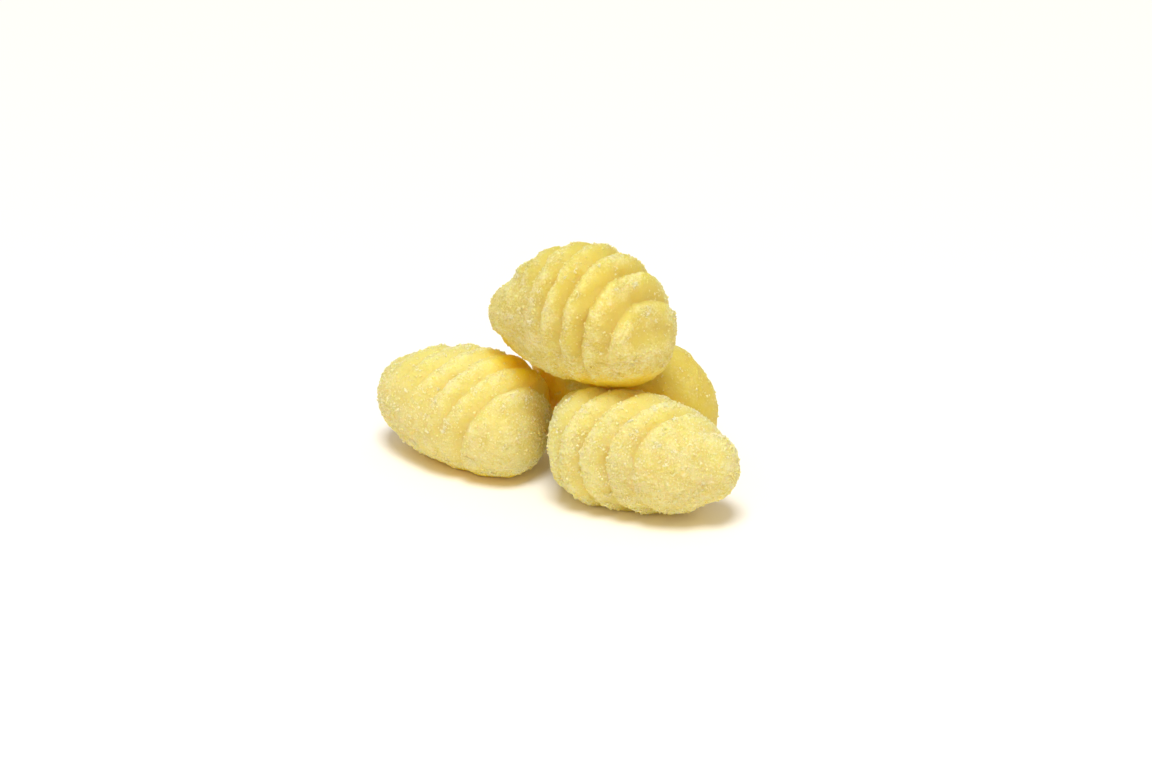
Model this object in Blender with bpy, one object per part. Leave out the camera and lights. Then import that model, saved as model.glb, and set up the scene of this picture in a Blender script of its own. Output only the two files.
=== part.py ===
"""A small heap of four ridged potato gnocchi: three lie side by side and one rests on top.

Units are metres and +Z is up. Each gnocco is one solid, turned and placed in the heap, and the
three lower ones are pressed to small flat spots where they stand on the ground.
"""
from math import asin, pi, radians, sin, sqrt

import bmesh
import bpy
from mathutils import Euler, Matrix, Vector

MM = 0.001

# Mesh of one gnocco: the rings follow the ridges.
SEGMENTS = 24
RINGS = 50
RING_EVENNESS = 0.55

# The board presses ridges of one pitch into every gnocco, deeper on the side that rolls on it.
# A ridge is steep on its -x side, and at the plain ends the ridges die out over a share of the way.
RIDGE_PITCH = 4.95 * MM
RIDGE_SKEW = 0.6
SMOOTH_BACK_SHARE = 0.35
FADE_SHARE = 0.3

# The hollow round the nub of a cut end, as a share of the way to it.
PINCH_WIDTH = 0.11

# How deep the lower gnocchi are pressed to a flat where they stand.
FLAT_DEPTH = 0.45 * MM

# Raw dough dusted with flour.
DOUGH_COLOR = (0.871, 0.729, 0.258, 1.0)
DOUGH_ROUGHNESS = 0.75

# size: length, width and height; egg: how far the fat middle sits toward the +x end;
# fullness: 2 is an ellipse, more is blunter; lean: how the ridge planes tilt toward y and z;
# first_groove: where one groove crosses the long axis; ridge_depth: of the deepest grooves;
# ridged_side: the way they face; plain_far and plain_near: toward what the ridges die out at the
# -x and +x ends, and the share of the way there at which they start to; pinch: round what a cut end
# is pinched to a nub, the share of the way there, and how deep; turn: about x, y and z in degrees;
# place: x and y of the middle, and z for the one on top.
GNOCCHI = {
    "gnocco_left": dict(
        size=(32.8 * MM, 19.2 * MM, 22.9 * MM), egg=0.29, fullness=2.35, lean=(-0.53, -0.46),
        first_groove=6.6 * MM, ridge_depth=1.2 * MM, ridged_side=(0.2, -0.3, 0.95),
        plain_far=((-0.8, -0.6, -0.1), 0.55), plain_near=((0.8, -0.5, -0.35), 0.58),
        pinch=((1.0, 0.0, 0.0), 0.8, 0.0),
        turn=(7.0, -3.0, -32.0), place=(-19.9 * MM, 4.6 * MM)),
    "gnocco_right": dict(
        size=(32.2 * MM, 17.4 * MM, 23.9 * MM), egg=-0.24, fullness=3.00, lean=(-0.70, 0.08),
        first_groove=2.8 * MM, ridge_depth=1.6 * MM, ridged_side=(0.1, -0.8, 0.6),
        plain_far=((-1.0, 0.0, 0.2), 0.8), plain_near=((0.9, -0.4, 0.0), 0.55),
        pinch=((1.0, 0.0, -0.1), 0.83, 0.4 * MM),
        turn=(25.0, -3.0, -24.0), place=(11.3 * MM, -14.6 * MM)),
    "gnocco_back": dict(
        size=(34.5 * MM, 19.9 * MM, 25.3 * MM), egg=0.0, fullness=2.10, lean=(-0.55, -0.20),
        first_groove=1.0 * MM, ridge_depth=1.3 * MM, ridged_side=(0.0, 0.8, 0.6),
        plain_far=((-1.0, 0.0, 0.0), 0.6), plain_near=((0.8, -0.2, 0.5), 0.5),
        pinch=((1.0, 0.0, 0.0), 0.8, 0.0),
        turn=(11.1, 17.8, -22.0), place=(8.4 * MM, 7.6 * MM)),
    "gnocco_top": dict(
        size=(35.0 * MM, 19.4 * MM, 28.1 * MM), egg=0.35, fullness=1.78, lean=(-0.34, -0.59),
        first_groove=11.1 * MM, ridge_depth=1.5 * MM, ridged_side=(0.5, 0.0, 0.85),
        plain_far=((-0.85, -0.4, 0.2), 0.5), plain_near=((0.45, -0.5, -0.8), 0.6),
        pinch=((-0.75, -0.4, 0.5), 0.88, 0.5 * MM),
        turn=(28.7, -20.4, -41.9), place=(-0.4 * MM, -5.8 * MM, 32.0 * MM)),
}


def smoothstep(low, high, value):
    """Ease from 0 at low to 1 at high."""
    share = min(max((value - low) / (high - low), 0.0), 1.0)
    return share * share * (3.0 - 2.0 * share)


def even_out_rings(co):
    """Move a sphere's rings from even angles toward even heights, to give each ridge its share."""
    angle_share = asin(min(max(co.z, -1.0), 1.0)) / (pi / 2)
    height = (1.0 - RING_EVENNESS) * co.z + RING_EVENNESS * angle_share
    ring = Vector((co.x, co.y, 0.0))
    if ring.length > 1e-6:
        ring.length = sqrt(max(1.0 - height * height, 0.0))
    return Vector((ring.x, ring.y, height))


def body_point(direction, gnocco):
    """The smooth egg-shaped body's point in one direction from its middle."""
    length, width, height = gnocco["size"]
    cap = max(1.0 - direction.x ** 2, 1e-6)
    full = sqrt(max(1.0 - abs(direction.x) ** gnocco["fullness"], 0.0) / cap)
    return Vector((
        length / 2 * (direction.x + gnocco["egg"] * cap),
        width / 2 * direction.y * full,
        height / 2 * direction.z * full,
    ))


def ridge_axis(gnocco):
    """The direction, on the sphere that becomes the body, that the ridges go round."""
    length, width, height = gnocco["size"]
    lean_y, lean_z = gnocco["lean"]
    return Vector((length, lean_y * width, lean_z * height)).normalized()


def share_toward(direction, way):
    """How far a direction leans toward another: 1 is all the way."""
    return direction.dot(Vector(way).normalized())


def groove_depth(point, direction, gnocco):
    """How far the grooves between the round ridges press the body in at a point."""
    lean_y, lean_z = gnocco["lean"]
    across = point.x + lean_y * point.y + lean_z * point.z - gnocco["first_groove"]
    crest = sin(pi * (across / RIDGE_PITCH % 1.0) ** RIDGE_SKEW)
    depth = gnocco["ridge_depth"] * (1.0 - crest)
    for way, start in (gnocco["plain_far"], gnocco["plain_near"]):
        depth *= 1.0 - smoothstep(start, start + FADE_SHARE, share_toward(direction, way))
    facing = share_toward(direction, gnocco["ridged_side"])
    sides = SMOOTH_BACK_SHARE + (1.0 - SMOOTH_BACK_SHARE) * smoothstep(-0.6, 0.3, facing)
    return depth * sides


def nub_rise(direction, gnocco):
    """How far the nub of a cut end stands out, less than 0 in the hollow pinched round it."""
    way, start, depth = gnocco["pinch"]
    toward = share_toward(direction, way) - start
    return depth * (smoothstep(0.0, PINCH_WIDTH, toward)
                    + smoothstep(0.0, PINCH_WIDTH, abs(toward)) - 1.0)


def gnocco_bmesh(gnocco):
    """A sphere drawn out to the egg-shaped body, with the ridges pressed in."""
    size = Vector(gnocco["size"])
    turn_poles = Vector((0.0, 0.0, 1.0)).rotation_difference(ridge_axis(gnocco))
    shape = bmesh.new()
    bmesh.ops.create_uvsphere(shape, u_segments=SEGMENTS, v_segments=RINGS, radius=1.0)
    for vertex in shape.verts:
        direction = even_out_rings(vertex.co)
        direction.rotate(turn_poles)
        point = body_point(direction, gnocco)
        outward = Vector([part / side for part, side in zip(direction, size)]).normalized()
        rise = nub_rise(direction, gnocco) - groove_depth(point, direction, gnocco)
        vertex.co = point + outward * rise
    return shape


def placement(gnocco, shape):
    """The matrix that turns a gnocco and sets it in the heap, a lower one on the ground."""
    turn = Euler([radians(angle) for angle in gnocco["turn"]]).to_matrix().to_4x4()
    place = gnocco["place"]
    if len(place) == 3:
        return Matrix.Translation(place) @ turn
    lowest = min((turn @ vertex.co).z for vertex in shape.verts)
    return Matrix.Translation((place[0], place[1], -lowest - FLAT_DEPTH)) @ turn


def press_flat(shape, matrix):
    """Cut off what lies under the ground and close it with a flat spot."""
    to_local = matrix.inverted()
    cut = bmesh.ops.bisect_plane(
        shape, geom=shape.verts[:] + shape.edges[:] + shape.faces[:], dist=1e-7,
        plane_co=to_local @ Vector((0.0, 0.0, 0.0)),
        plane_no=to_local.to_3x3() @ Vector((0.0, 0.0, -1.0)), clear_outer=True)
    rim = [item for item in cut["geom_cut"] if isinstance(item, bmesh.types.BMEdge)]
    bmesh.ops.edgeloop_fill(shape, edges=rim)
    bmesh.ops.recalc_face_normals(shape, faces=shape.faces[:])


def dough_material(name):
    """Pale yellow matt dough."""
    material = bpy.data.materials.new(name)
    material.use_nodes = True
    shader = material.node_tree.nodes["Principled BSDF"]
    shader.inputs["Base Color"].default_value = DOUGH_COLOR
    shader.inputs["Roughness"].default_value = DOUGH_ROUGHNESS
    shader.inputs["Metallic"].default_value = 0.0
    return material


def make_gnocco(name, gnocco, collection, heap):
    """One gnocco as an object of its own, parented to the heap's empty."""
    shape = gnocco_bmesh(gnocco)
    matrix = placement(gnocco, shape)
    if len(gnocco["place"]) == 2:
        press_flat(shape, matrix)
    mesh = bpy.data.meshes.new(name)
    shape.to_mesh(mesh)
    shape.free()
    mesh.shade_smooth()
    mesh.materials.append(dough_material(name + "_dough"))
    item = bpy.data.objects.new(name, mesh)
    item.matrix_world = matrix
    item.parent = heap
    collection.objects.link(item)
    return item


def centre_heap(heap, gnocchi):
    """Slide the heap so that the middle of its box stands on the origin."""
    corners = [item.matrix_basis @ vertex.co for item in gnocchi for vertex in item.data.vertices]
    for axis in range(2):
        values = [corner[axis] for corner in corners]
        heap.location[axis] = -(min(values) + max(values)) / 2


def main():
    for item in list(bpy.data.objects):
        bpy.data.objects.remove(item, do_unlink=True)
    collection = bpy.data.collections.new("potato_gnocchi")
    bpy.context.scene.collection.children.link(collection)
    heap = bpy.data.objects.new("heap", None)
    collection.objects.link(heap)
    gnocchi = [make_gnocco(name, sizes, collection, heap) for name, sizes in GNOCCHI.items()]
    centre_heap(heap, gnocchi)
    bpy.context.view_layer.update()


main()
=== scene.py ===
from math import cos, pi, radians, sin

import bpy
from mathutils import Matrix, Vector


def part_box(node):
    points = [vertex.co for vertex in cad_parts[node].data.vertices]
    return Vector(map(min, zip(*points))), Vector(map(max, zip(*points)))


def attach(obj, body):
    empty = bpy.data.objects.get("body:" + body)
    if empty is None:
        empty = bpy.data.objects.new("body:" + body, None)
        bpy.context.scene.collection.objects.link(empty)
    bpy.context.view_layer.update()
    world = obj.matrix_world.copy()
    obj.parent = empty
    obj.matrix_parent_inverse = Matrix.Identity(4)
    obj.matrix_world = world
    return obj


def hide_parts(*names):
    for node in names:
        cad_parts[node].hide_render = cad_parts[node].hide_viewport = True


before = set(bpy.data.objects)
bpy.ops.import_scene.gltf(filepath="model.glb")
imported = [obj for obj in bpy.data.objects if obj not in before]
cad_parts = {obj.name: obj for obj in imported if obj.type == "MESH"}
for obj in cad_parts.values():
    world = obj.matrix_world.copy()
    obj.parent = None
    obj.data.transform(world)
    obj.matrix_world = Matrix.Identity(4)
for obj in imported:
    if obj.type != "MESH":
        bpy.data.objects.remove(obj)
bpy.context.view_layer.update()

# The gnocchi.
# Each one is a piece of potato dough cut from a rope and rolled under the thumb over a grooved
# board, which leaves round ridges. They are raw, soft and rolled in flour, so the skin is grainy.

MM = 0.001

# The ridges have one pitch and are steep on their -x side. The grooves between them are a little
# rounded and shallower on the smooth back, and fade over a share of the way to the plain ends.
RIDGE_PITCH = 4.95 * MM
RIDGE_SKEW = 0.6
GROOVE_ROUNDNESS = 0.22
SMOOTH_BACK_SHARE = 0.35
FADE_SHARE = 0.3

# The hollow round the nub of a cut end, as a share of the way to it.
PINCH_WIDTH = 0.11

# Flour is rubbed off within one reach of another gnocco, and the dough stays damp within the
# other, both of them fully at a firm touch. The bare, golden dough within both reaches is partly
# painted shade in the crevices. Over the table each reach is only a share as high.
FIRM_TOUCH = 0.3 * MM
RUBBED_AND_SHADE_REACH = 4.8 * MM
DAMP_AND_SHADE_REACH = 7.0 * MM
TABLE_REACH_SHARE = 0.5

# Each skin starts from a cube with this many cells along a side. Nothing is divided by less than
# the tiny number.
GRID_CELLS = 126
TINY = 1e-6

# Lengths are in mm and angles in degrees. size: length, width and height; egg: how far the fat
# middle sits toward the +x end; fullness: 2 is an ellipse, more is blunter; lean: how the ridge
# planes tilt toward y and z; first_groove: where one groove crosses the long axis; ridge_depth: of
# the deepest grooves; ridged_side: the way they face; plain_far and plain_near: toward what the
# ridges die out at the -x and +x ends, and the share of the way there at which they start to;
# pinch: round what a cut end is pinched to a nub, the share of the way there, and how deep; yolk:
# its share of deep yellow; the next one: how golden it is where it touches, partly as damp dough
# and partly as painted shade; floured: how thickly; turn: about x, y and z.
GNOCCHI = {
    "gnocco_left": dict(
        size=(32.8, 19.2, 22.9), egg=0.29, fullness=2.35, lean=(-0.53, -0.46),
        first_groove=6.6, ridge_depth=1.2, ridged_side=(0.2, -0.3, 0.95),
        plain_far=((-0.8, -0.6, -0.1), 0.55), plain_near=((0.8, -0.5, -0.35), 0.58),
        pinch=((1.0, 0.0, 0.0), 0.8, 0.0), yolk=0.0, damp=1.0, floured=0.7,
        turn=(7.0, -3.0, -32.0)),
    "gnocco_right": dict(
        size=(32.2, 17.4, 23.9), egg=-0.24, fullness=3.00, lean=(-0.70, 0.08),
        first_groove=2.8, ridge_depth=1.6, ridged_side=(0.1, -0.8, 0.6),
        plain_far=((-1.0, 0.0, 0.2), 0.8), plain_near=((0.9, -0.4, 0.0), 0.55),
        pinch=((1.0, 0.0, -0.1), 0.83, 0.4), yolk=0.0, damp=0.15, floured=0.95,
        turn=(25.0, -3.0, -24.0)),
    "gnocco_back": dict(
        size=(34.5, 19.9, 25.3), egg=0.0, fullness=2.10, lean=(-0.55, -0.20),
        first_groove=1.0, ridge_depth=1.3, ridged_side=(0.0, 0.8, 0.6),
        plain_far=((-1.0, 0.0, 0.0), 0.6), plain_near=((0.8, -0.2, 0.5), 0.5),
        pinch=((1.0, 0.0, 0.0), 0.8, 0.0), yolk=0.95, damp=1.0, floured=0.35,
        turn=(11.1, 17.8, -22.0)),
    "gnocco_top": dict(
        size=(35.0, 19.4, 28.1), egg=0.35, fullness=1.78, lean=(-0.34, -0.59),
        first_groove=11.1, ridge_depth=1.5, ridged_side=(0.5, 0.0, 0.85),
        plain_far=((-0.85, -0.4, 0.2), 0.5), plain_near=((0.45, -0.5, -0.8), 0.6),
        pinch=((-0.75, -0.4, 0.5), 0.88, 0.5), yolk=0.75, damp=0.7, floured=0.7,
        turn=(28.7, -20.4, -41.9)),
}


class Wire:
    """A socket of a node tree. Arithmetic on it adds Math nodes to the tree."""

    def __init__(self, tree, socket=None):
        self.tree = tree
        self.socket = socket

    def node(self, kind, settings=None, inputs=None):
        """Add a node, make its settings, then fill its sockets, and return its first output."""
        node = self.tree.nodes.new(kind)
        for name, value in (settings or {}).items():
            setattr(node, name, value)
        for name, value in (inputs or {}).items():
            self.fill(node.inputs[name], value)
        return Wire(self.tree, node.outputs[0] if node.outputs else None)

    def fill(self, socket, value):
        """Link a wire to a socket, or set the socket to a plain value."""
        if isinstance(value, Wire):
            self.tree.links.new(value.socket, socket)
        else:
            socket.default_value = value

    def out(self, name):
        """Another output of the same node."""
        return Wire(self.tree, self.socket.node.outputs[name])

    def maths(self, operation, *values):
        return self.node("ShaderNodeMath", {"operation": operation}, dict(enumerate(values)))

    def vector(self, operation, *values):
        return self.node("ShaderNodeVectorMath", {"operation": operation}, dict(enumerate(values)))

    def scaled(self, vector, factor):
        return self.node("ShaderNodeVectorMath", {"operation": "SCALE"},
                         {0: vector, "Scale": factor})

    def dot(self, first, second):
        return self.vector("DOT_PRODUCT", first, second).out("Value")

    def toward(self, way):
        """How far this direction leans toward another: 1 is all the way."""
        return self.dot(self, self.vector("NORMALIZE", way))

    def along(self, axis):
        """The part of this vector along X, Y or Z."""
        return self.node("ShaderNodeSeparateXYZ", None, {0: self}).out(axis)

    def __add__(self, other):
        return self.maths("ADD", self, other)

    def __sub__(self, other):
        return self.maths("SUBTRACT", self, other)

    def __rsub__(self, other):
        return self.maths("SUBTRACT", other, self)

    def __mul__(self, other):
        return self.maths("MULTIPLY", self, other)

    def __truediv__(self, other):
        return self.maths("DIVIDE", self, other)

    def __pow__(self, other):
        return self.maths("POWER", self, other)

    def __abs__(self):
        return self.maths("ABSOLUTE", self)

    __radd__ = __add__
    __rmul__ = __mul__

    def at_least(self, lowest):
        return self.maths("MAXIMUM", self, lowest)

    def eased(self, low, high):
        """0 below low, 1 above high, and a smooth step between."""
        return self.node("ShaderNodeMapRange", {"interpolation_type": "SMOOTHSTEP"},
                         {"Value": self, "From Min": low, "From Max": high})

    def noise(self, position, size, seed, detail=2.0):
        """Soft noise around 0, mostly from -1 to 1, with lumps of this size."""
        cloud = self.node("ShaderNodeTexNoise", {"noise_dimensions": "4D"}, {
            "Vector": position, "W": seed, "Scale": 1.0 / size, "Detail": detail})
        return (cloud - 0.5) * 3.5

    def grains(self, position, size, seed):
        """Uneven grains of this size: 1 in the middle of one and 0 at its edge."""
        distance = self.node("ShaderNodeTexVoronoi", {"voronoi_dimensions": "4D"}, {
            "Vector": position, "W": seed, "Scale": 1.0 / size})
        return 1.0 - distance.eased(0.1, 0.65)

    def mixed(self, amount, first, second):
        """A colour this far from the first to the second."""
        mix = self.node("ShaderNodeMix", {"data_type": "RGBA"}, {0: amount, 6: first, 7: second})
        return mix.out(2)

    def store(self, mesh, label, value):
        """Keep a number for each point of a mesh under this name."""
        return self.node("GeometryNodeStoreNamedAttribute",
                         {"data_type": "FLOAT", "domain": "POINT"},
                         {"Geometry": mesh, "Name": label, "Value": value})

    def stored(self, label):
        """The number kept under this name, read while a mesh is made."""
        return self.node("GeometryNodeInputNamedAttribute", {"data_type": "FLOAT"},
                         {"Name": label})

    def painted(self, label):
        """The number kept under this name, read by a material."""
        return self.node("ShaderNodeAttribute", {"attribute_name": label}).out("Fac")

    def mesh_of(self, collection):
        """All the pieces of a collection as one mesh."""
        pieces = self.node("GeometryNodeCollectionInfo", None, {"Collection": collection})
        return self.node("GeometryNodeRealizeInstances", None, {0: pieces})


def new_material(name, constants):
    """A material, its shader with these constants, and a wire that starts its nodes."""
    material = bpy.data.materials.new(name)
    material.use_nodes = True
    shader = material.node_tree.nodes["Principled BSDF"]
    for label, value in constants.items():
        shader.inputs[label].default_value = value
    return material, shader, Wire(material.node_tree)


def new_tree(name, kinds):
    """A Geometry Nodes tree with these named inputs, and a wire from each of them."""
    tree = bpy.data.node_groups.new(name, "GeometryNodeTree")
    for label, kind in kinds.items():
        tree.interface.new_socket(label, in_out="INPUT", socket_type="NodeSocket" + kind)
    tree.interface.new_socket("Mesh", in_out="OUTPUT", socket_type="NodeSocketGeometry")
    entry = tree.nodes.new("NodeGroupInput")
    return tree, {label: Wire(tree, entry.outputs[label]) for label in kinds}


def end_tree(tree, mesh, material):
    """Close a tree: realize its instances, shade it smooth and give it its material."""
    at = Wire(tree)
    mesh = at.node("GeometryNodeRealizeInstances", None, {0: mesh})
    mesh = at.node("GeometryNodeSetShadeSmooth", None, {0: mesh})
    mesh = at.node("GeometryNodeSetMaterial", None, {"Geometry": mesh, "Material": material})
    at.fill(tree.nodes.new("NodeGroupOutput").inputs[0], mesh)


def grow(name, tree, values):
    """Run a tree for a new piece and keep what it makes as a plain mesh."""
    piece = bpy.data.objects.new(name, bpy.data.meshes.new(name))
    bpy.context.scene.collection.objects.link(piece)
    modifier = piece.modifiers.new("shape", "NODES")
    modifier.node_group = tree
    for item in tree.interface.items_tree:
        if item.in_out == "INPUT":
            modifier[item.identifier] = values[item.name]
    depsgraph = bpy.context.evaluated_depsgraph_get()
    piece.data = bpy.data.meshes.new_from_object(
        piece.evaluated_get(depsgraph), preserve_all_data_layers=True, depsgraph=depsgraph)
    piece.modifiers.clear()
    return piece


# Bare dough is pale or deep yellow with its share of egg yolk, and golden against another gnocco
# or the table, partly where it stays damp and partly as painted shade in the crevices and
# underneath. Its crust of flour is a mosaic of pale grains.
PALE_DOUGH = (0.76, 0.66, 0.20, 1.0)
YOLKY_DOUGH = (0.65, 0.52, 0.09, 1.0)
DAMP_AND_SHADE_DOUGH = (0.96, 0.68, 0.03, 1.0)
FLOURED_DOUGH = (0.86, 0.79, 0.37, 1.0)
BARE_ROUGHNESS = 0.5
FLOURED_ROUGHNESS = 0.85
MOTTLE_SIZE = 2.2 * MM
SPECKLE_SIZE = 0.4 * MM
CRUMB_SIZE = 0.5 * MM
CRUST_RELIEF = 0.15 * MM

dough, shader, at = new_material("floured_dough", {
    "Subsurface Weight": 0.9,
    "Subsurface Radius": (1.0, 0.7, 0.1),
    "Subsurface Scale": 10.0 * MM,
    "IOR": 1.4,
    "Specular IOR Level": 0.4,
})
place = at.node("ShaderNodeTexCoord").out("Object")
mottle = at.noise(place, MOTTLE_SIZE, 1.0).eased(-0.6, 0.6)
speckle = at.noise(place, SPECKLE_SIZE, 2.0, 3.0).eased(-0.6, 0.8)
crumbs = at.grains(place, CRUMB_SIZE, 3.0)
# The flour mask also carries a painted highlight on the crests and painted shade in the grooves and
# crevices.
dusting_and_light = at.painted("flour") * (0.05 + 0.55 * mottle + 0.45 * speckle + 0.6 * crumbs)
dusting_and_light = dusting_and_light.eased(0.0, 1.0)
bare_dough = at.mixed(at.painted("yolk"), PALE_DOUGH, YOLKY_DOUGH)
# Golden where the gnocchi touch and underneath: partly damp dough, partly painted shade.
bare_dough = at.mixed(at.painted("damp"), bare_dough, DAMP_AND_SHADE_DOUGH)
at.fill(shader.inputs["Base Color"], at.mixed(dusting_and_light, bare_dough, FLOURED_DOUGH))
at.fill(shader.inputs["Roughness"],
        BARE_ROUGHNESS + (FLOURED_ROUGHNESS - BARE_ROUGHNESS) * dusting_and_light)
at.fill(shader.inputs["Normal"], at.node("ShaderNodeBump", None, {
    "Strength": 0.6, "Distance": CRUST_RELIEF, "Height": 0.5 * speckle + 0.5 * crumbs}))

tree, given = new_tree("ridged_gnocco", {
    "Size": "Vector", "Egg": "Float", "Fullness": "Float", "Lean": "Vector",
    "First Groove": "Float", "Ridge Depth": "Float", "Ridged Side": "Vector",
    "Far Way": "Vector", "Far From": "Float", "Near Way": "Vector", "Near From": "Float",
    "Pinch Way": "Vector", "Pinch Share": "Float", "Pinch Depth": "Float",
    "Yolk": "Float", "Damp And Shade": "Float", "Floured": "Float", "Turn": "Vector",
    "Box Low": "Vector", "Box High": "Vector", "Neighbours": "Collection", "Seed": "Float",
})
at = Wire(tree)

# Every noise adds a number of its own to the seed.
size, seed = given["Size"], given["Seed"]
cube = at.node("GeometryNodeMeshCube", None, {
    "Size": (2.0, 2.0, 2.0), "Vertices X": GRID_CELLS + 1,
    "Vertices Y": GRID_CELLS + 1, "Vertices Z": GRID_CELLS + 1})

# A cube's even grid blown up to a ball gives each point its direction, and that its place.
cube_place = at.scaled(at.node("GeometryNodeInputPosition"), pi / 4)
direction = at.vector("NORMALIZE", at.vector("TANGENT", cube_place))
x, y, z = (direction.along(axis) for axis in "XYZ")
cap = (1.0 - x * x).at_least(TINY)
full = at.maths("SQRT", (1.0 - abs(x) ** given["Fullness"]).at_least(0.0) / cap)
shares = at.node("ShaderNodeCombineXYZ", None, {
    0: x + given["Egg"] * cap, 1: y * full, 2: z * full})
body = at.vector("MULTIPLY", at.scaled(size, 0.5), shares)
outward = at.vector("NORMALIZE", at.vector("DIVIDE", direction, size))

# The ridges follow leaning planes. Their pitch is even, but they wander in long and short waves,
# differ in depth and fade, as dough does.
LONG_WAVE = 7.0 * MM
LONG_WANDER = 0.45 * MM
SHORT_WAVE = 2.5 * MM
SHORT_WANDER = 0.3 * MM
DEPTH_WAVE = 5.0 * MM
DEPTH_CHANGE = 0.4

wander = (at.noise(body, LONG_WAVE, seed + 10.0) * LONG_WANDER
          + at.noise(body, SHORT_WAVE, seed + 15.0) * SHORT_WANDER)
across = at.dot(body, given["Lean"]) - given["First Groove"] + wander
phase = at.maths("FRACT", across / RIDGE_PITCH)
swing = at.maths("SINE", phase ** RIDGE_SKEW * pi)
crest = at.maths("SQRT", swing * swing + GROOVE_ROUNDNESS ** 2)
ridged = 1.0
for end in ("Far", "Near"):
    start = given[end + " From"]
    ridged = ridged * (1.0 - direction.toward(given[end + " Way"]).eased(start, start + FADE_SHARE))
facing = direction.toward(given["Ridged Side"])
sides = SMOOTH_BACK_SHARE + (1.0 - SMOOTH_BACK_SHARE) * facing.eased(-0.6, 0.3)
ridged = ridged * sides * (1.0 + DEPTH_CHANGE * at.noise(body, DEPTH_WAVE, seed + 20.0))
groove = ((1.0 - crest) * ridged).at_least(0.0)

# The ridges hold less flour than the plain ends, above all in the grooves and at the foot of the
# gentle flank, but their crests catch more. The pale crests are partly a painted highlight, and
# the bare grooves and feet partly painted shade. A ridge has its crest at a phase of about 0.3.
OFF_RIDGE = 0.2
OFF_GROOVE_AND_SHADE = 0.15
OFF_FOOT_AND_SHADE = 0.25
ON_CREST_AND_HIGHLIGHT = 0.35

crest_line = phase.eased(0.0, 0.2) * (1.0 - phase.eased(0.3, 0.7))
gentle_foot = phase.eased(0.5, 0.95)
on_ridge = (ON_CREST_AND_HIGHLIGHT * crest_line - OFF_FOOT_AND_SHADE * gentle_foot - OFF_RIDGE) * ridged
on_ridge = on_ridge - OFF_GROOVE_AND_SHADE * groove

# A cut end is pinched in round a small nub.
pinched = direction.toward(given["Pinch Way"]) - given["Pinch Share"]
nub = given["Pinch Depth"] * (pinched.eased(0.0, PINCH_WIDTH)
                              + abs(pinched).eased(0.0, PINCH_WIDTH) - 1.0)

# Lumps and dents, deeper where there are no ridges, leave the skin as uneven as dough is.
LUMP_SIZE = 9.0 * MM
LUMP_HEIGHT = 0.35 * MM
DENT_SIZE = 1.8 * MM
DENT_DEPTH = 0.14 * MM
DEEPER_ON_PLAIN = 0.05 * MM

lumps = at.noise(body, LUMP_SIZE, seed + 40.0) * LUMP_HEIGHT
plain = 1.0 - ridged.eased(0.0, 0.8)
dents = at.noise(body, DENT_SIZE, seed + 50.0) * (DENT_DEPTH + DEEPER_ON_PLAIN * plain)
rise = lumps + dents - given["Ridge Depth"] * groove + nub
skin = at.vector("ADD", body, at.scaled(outward, rise))
turned = at.node("ShaderNodeVectorRotate", {"rotation_type": "EULER_XYZ"},
                 {"Vector": skin, "Rotation": given["Turn"]})
mesh = at.store(cube, "on_ridge", on_ridge)
mesh = at.node("GeometryNodeSetPosition", None, {"Geometry": mesh, "Position": turned})

# It goes to its place in the heap, where the middle and the top of its box are those of its solid.
reach = at.node("GeometryNodeBoundBox", None, {"Geometry": mesh})
sideways = at.scaled(at.vector("SUBTRACT", at.vector("ADD", given["Box Low"], given["Box High"]),
                               at.vector("ADD", reach.out("Min"), reach.out("Max"))), 0.5)
upward = at.vector("SUBTRACT", given["Box High"], reach.out("Max"))
move = at.vector("ADD", at.vector("MULTIPLY", sideways, (1.0, 1.0, 0.0)),
                 at.vector("MULTIPLY", upward, (0.0, 0.0, 1.0)))
mesh = at.node("GeometryNodeTransform", None, {"Geometry": mesh, "Translation": move})

# Flour lies in patches, thickest on the plain ends, low down and on the crests, where it is
# partly a painted highlight, and rubs off where the gnocchi touch each other and the table,
# leaving bare golden dough there that is partly painted shade. The undersides stay a little damp
# too, and their golden tone is partly painted shade.
PATCH_SIZE = 8.0 * MM
PATCHY = 0.4
OFF_UPPER_SIDE = 0.25
OFF_WHERE_RUBBED_AND_SHADED = 0.9
DAMP_AND_SHADE_UNDERSIDE = 0.3

point = at.node("GeometryNodeInputPosition")
normal = at.node("GeometryNodeInputNormal")
upright = normal.along("Z")
gap = at.node("GeometryNodeProximity", {"target_element": "FACES"},
              {0: at.mesh_of(given["Neighbours"])}).out("Distance")
apart = at.maths("MINIMUM", gap, point.along("Z") / TABLE_REACH_SHARE)
rubbed_and_shaded = 1.0 - apart.eased(FIRM_TOUCH, RUBBED_AND_SHADE_REACH)
near = 1.0 - apart.eased(FIRM_TOUCH, DAMP_AND_SHADE_REACH)
underside = 1.0 - upright.eased(-0.9, 0.0)
# Golden where it touches and underneath: partly damp dough, partly painted shade.
damp = given["Damp And Shade"] * near + DAMP_AND_SHADE_UNDERSIDE * underside
flour = given["Floured"] + PATCHY * at.noise(point, PATCH_SIZE, seed + 30.0)
flour = flour - OFF_UPPER_SIDE * upright + at.stored("on_ridge") - OFF_WHERE_RUBBED_AND_SHADED * rubbed_and_shaded
flour = flour.eased(0.0, 1.0)
for label, value in (("yolk", given["Yolk"]), ("damp", damp), ("flour", flour)):
    mesh = at.store(mesh, label, value)

# The crust of flour is grainy, and bare dough a little so too. What would reach under the table
# is pressed flat on it.
GRIT_SIZE = 0.8 * MM
GRIT_HEIGHT = 0.12 * MM
CLOT_HEIGHT = 0.26 * MM

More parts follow.
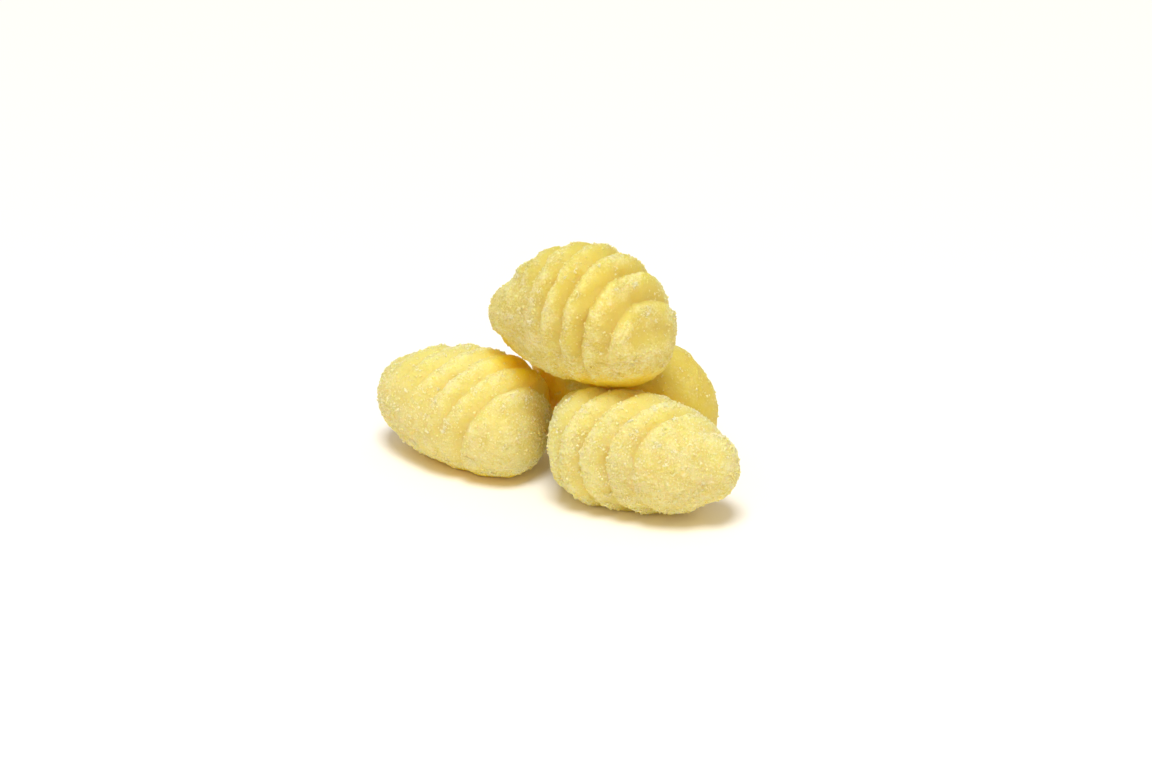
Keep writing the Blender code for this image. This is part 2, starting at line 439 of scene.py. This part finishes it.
grit = at.noise(point, GRIT_SIZE, seed + 60.0) * (0.3 + 0.7 * flour) * GRIT_HEIGHT
clots = at.grains(point, GRIT_SIZE, seed + 70.0) * (0.15 + 0.85 * flour) * CLOT_HEIGHT
crusted = at.vector("ADD", point, at.scaled(normal, grit + clots))
mesh = at.node("GeometryNodeSetPosition", None, {
    "Geometry": mesh, "Position": at.vector("MAXIMUM", crusted, (-1.0, -1.0, 0.0))})
end_tree(tree, mesh, dough)

heap = bpy.data.collections.new("heap")
bpy.context.scene.collection.children.link(heap)
for number, (name, shape) in enumerate(GNOCCHI.items()):
    low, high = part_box(name)
    neighbours = bpy.data.collections.new("neighbours_of_" + name)
    for other in GNOCCHI:
        if other != name:
            neighbours.objects.link(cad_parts[other])
    piece = grow(name + "_dough", tree, {
        "Size": Vector(shape["size"]) * MM, "Egg": shape["egg"], "Fullness": shape["fullness"],
        "Lean": (1.0, *shape["lean"]), "First Groove": shape["first_groove"] * MM,
        "Ridge Depth": shape["ridge_depth"] * MM, "Ridged Side": shape["ridged_side"],
        "Far Way": shape["plain_far"][0], "Far From": shape["plain_far"][1],
        "Near Way": shape["plain_near"][0], "Near From": shape["plain_near"][1],
        "Pinch Way": shape["pinch"][0], "Pinch Share": shape["pinch"][1],
        "Pinch Depth": shape["pinch"][2] * MM,
        "Yolk": shape["yolk"], "Damp And Shade": shape["damp"], "Floured": shape["floured"],
        "Turn": [radians(angle) for angle in shape["turn"]],
        "Box Low": low, "Box High": high, "Neighbours": neighbours, "Seed": float(number)})
    heap.objects.link(piece)
    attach(piece, "root")
    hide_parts(name)

# The loose flour.
# Grains of flour cling to the damp dough, thickest where the crust is and in small clots. Each
# is a lump of a few facets, half sunk in the skin.

# Most grains are fine and few are coarse, and they differ in shape. They thin out between the two
# heights over the table. A clot has more and bigger grains.
GRAINS_PER_MM2 = 10.0
GRAIN_RADIUS = (0.10 * MM, 0.32 * MM)
FINENESS = 2.5
SQUASHED = 0.7
DRAWN_OUT = 1.3
NO_GRAINS_UNDER = 1.0 * MM
ALL_GRAINS_OVER = 2.0 * MM
ON_BARE_DOUGH = 0.06
OUTSIDE_CLOTS = 0.45
MORE_IN_CLOTS = 1.5
SIZE_OUTSIDE_CLOTS = 0.85
BIGGER_IN_CLOTS = 0.35
PER_MM2 = 1.0 / MM ** 2

# Grains take on some of the colour of the dough they cling to, its golden painted shade near the
# touches too, and are whitest in the clots.
DAMP_GRAIN = (0.86, 0.76, 0.30, 1.0)
DRY_GRAIN = (0.92, 0.85, 0.45, 1.0)
WHITE_GRAIN = (0.96, 0.91, 0.70, 1.0)
SHADE_SIZE = 0.8 * MM
CLOT_SIZE = 1.6 * MM
CLOT_SEED = 6.0


def clotted_at(at, place):
    """How much the flour clots at a place: 0 is loose and 1 is the middle of a clot."""
    return at.noise(place, CLOT_SIZE, CLOT_SEED).eased(0.2, 0.7)


loose_flour, shader, at = new_material("loose_flour", {
    "Subsurface Weight": 0.6,
    "Subsurface Radius": (1.0, 0.8, 0.4),
    "Subsurface Scale": 0.4 * MM,
    "Roughness": 0.9,
    "Specular IOR Level": 0.1,
})
place = at.node("ShaderNodeTexCoord").out("Object")
dryness = at.noise(place, SHADE_SIZE, 4.0).eased(-0.8, 0.8)
grain_color = at.mixed(dryness, DAMP_GRAIN, DRY_GRAIN)
grain_color = at.mixed(0.5 * at.painted("yolk"), grain_color, YOLKY_DOUGH)
grain_color = at.mixed(0.5 * clotted_at(at, place), grain_color, WHITE_GRAIN)
# Near the touches the grains take on the golden painted shade as well.
grain_color = at.mixed(0.8 * at.painted("damp"), grain_color, DAMP_AND_SHADE_DOUGH)
at.fill(shader.inputs["Base Color"], grain_color)

tree, given = new_tree("flour_grains", {
    "Dough": "Collection", "Grains Per MM2": "Float", "Smallest": "Float", "Largest": "Float",
    "None Under": "Float", "All Over": "Float", "Seed": "Int",
})
at = Wire(tree)
point = at.node("GeometryNodeInputPosition")
clotted = clotted_at(at, point)
cover = ON_BARE_DOUGH + (1.0 - ON_BARE_DOUGH) * at.stored("flour") ** 1.5
cover = cover * (OUTSIDE_CLOTS + MORE_IN_CLOTS * clotted)
cover = cover * point.along("Z").eased(given["None Under"], given["All Over"])
points = at.node("GeometryNodeDistributePointsOnFaces", {"distribute_method": "RANDOM"}, {
    "Mesh": at.mesh_of(given["Dough"]), "Density": cover * given["Grains Per MM2"] * PER_MM2,
    "Seed": given["Seed"]})


def chance(at, low, high, seed):
    """A random number from low to high for each grain."""
    return at.node("FunctionNodeRandomValue", {"data_type": "FLOAT"}, {
        2: low, 3: high, "Seed": seed}).out(1)


bigness = chance(at, 0.0, 1.0, 1) ** FINENESS
bigness = bigness * (SIZE_OUTSIDE_CLOTS + BIGGER_IN_CLOTS * clotted)
radius = given["Smallest"] + (given["Largest"] - given["Smallest"]) * bigness
squash = at.node("ShaderNodeCombineXYZ", None, {
    axis: chance(at, SQUASHED, DRAWN_OUT, 2 + axis) for axis in range(3)})
spin = at.node("ShaderNodeCombineXYZ", None, {
    axis: chance(at, 0.0, 2.0 * pi, 5 + axis) for axis in range(3)})
grain = at.node("GeometryNodeMeshUVSphere", None, {"Segments": 4, "Rings": 2, "Radius": 1.0})
grains = at.node("GeometryNodeInstanceOnPoints", None, {
    "Points": points, "Instance": grain,
    "Rotation": at.node("FunctionNodeEulerToRotation", None, {0: spin}),
    "Scale": at.scaled(squash, radius)})
end_tree(tree, grains, loose_flour)

grains = grow("flour_grains", tree, {
    "Dough": heap, "Grains Per MM2": GRAINS_PER_MM2, "Smallest": GRAIN_RADIUS[0],
    "Largest": GRAIN_RADIUS[1], "None Under": NO_GRAINS_UNDER, "All Over": ALL_GRAINS_OVER,
    "Seed": 1})
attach(grains, "root")

# The studio.
# A pale table top that runs out of sight, a room that is white above and warm low down, a big soft
# lamp high above, so that the shadows stay short, and a weak warm one in front.

TABLE_SIDE = 6.0
TABLE_COLOR = (0.98, 0.95, 0.92, 1.0)
LAMPS = {
    "high_lamp": dict(place=(-0.10, -1.12, 2.80), side=1.0, power=74.0, color=(0.91, 0.96, 1.0)),
    "fill_lamp": dict(place=(0.10, -0.93, 0.50), side=0.4, power=1.6, color=(1.0, 0.88, 0.60)),
}
ROOM_BRIGHTNESS = 0.5
WARM_LOW_LIGHT = (1.0, 0.58, 0.04, 1.0)
WHITE_HIGH_LIGHT = (1.0, 1.0, 1.0, 1.0)
ALL_WHITE_OVER = 0.95

half = TABLE_SIDE / 2
table_mesh = bpy.data.meshes.new("table")
table_mesh.from_pydata([(-half, -half, 0.0), (half, -half, 0.0), (half, half, 0.0),
                        (-half, half, 0.0)], [], [(0, 1, 2, 3)])
table = bpy.data.objects.new("table", table_mesh)
bpy.context.scene.collection.objects.link(table)
white_table, _, _ = new_material("white_table", {
    "Base Color": TABLE_COLOR, "Roughness": 0.7, "Specular IOR Level": 0.2})
table_mesh.materials.append(white_table)

room = bpy.data.worlds.new("white_room")
room.use_nodes = True
backdrop = room.node_tree.nodes["Background"]
backdrop.inputs["Strength"].default_value = ROOM_BRIGHTNESS
at = Wire(room.node_tree)
upward = at.node("ShaderNodeTexCoord").out("Generated").along("Z")
at.fill(backdrop.inputs["Color"],
        at.mixed(upward.eased(0.0, ALL_WHITE_OVER), WARM_LOW_LIGHT, WHITE_HIGH_LIGHT))
bpy.context.scene.world = room
bpy.context.scene.view_settings.view_transform = "Standard"

for name, values in LAMPS.items():
    lamp_data = bpy.data.lights.new(name, "AREA")
    lamp_data.size = values["side"]
    lamp_data.energy = values["power"]
    lamp_data.color = values["color"]
    lamp = bpy.data.objects.new(name, lamp_data)
    lamp.location = values["place"]
    lamp.rotation_euler = (-Vector(values["place"])).to_track_quat("-Z", "Y").to_euler()
    bpy.context.scene.collection.objects.link(lamp)

# The camera looks down a little on the middle of the heap.
CAMERA_AIM = Vector((3.79, 3.13, 17.0)) * MM
CAMERA_DISTANCE = 0.55
CAMERA_ELEVATION = radians(25.0)
SENSOR_WIDTH_MM = 36.0
LENS_MM = 101.0
NEAREST_SEEN = 10.0 * MM

camera_data = bpy.data.cameras.new("camera")
camera_data.sensor_width = SENSOR_WIDTH_MM
camera_data.lens = LENS_MM
camera_data.clip_start = NEAREST_SEEN
camera = bpy.data.objects.new("camera", camera_data)
camera.location = CAMERA_AIM + CAMERA_DISTANCE * Vector(
    (0.0, -cos(CAMERA_ELEVATION), sin(CAMERA_ELEVATION)))
camera.rotation_euler = (pi / 2 - CAMERA_ELEVATION, 0.0, 0.0)
bpy.context.scene.collection.objects.link(camera)
bpy.context.scene.camera = camera
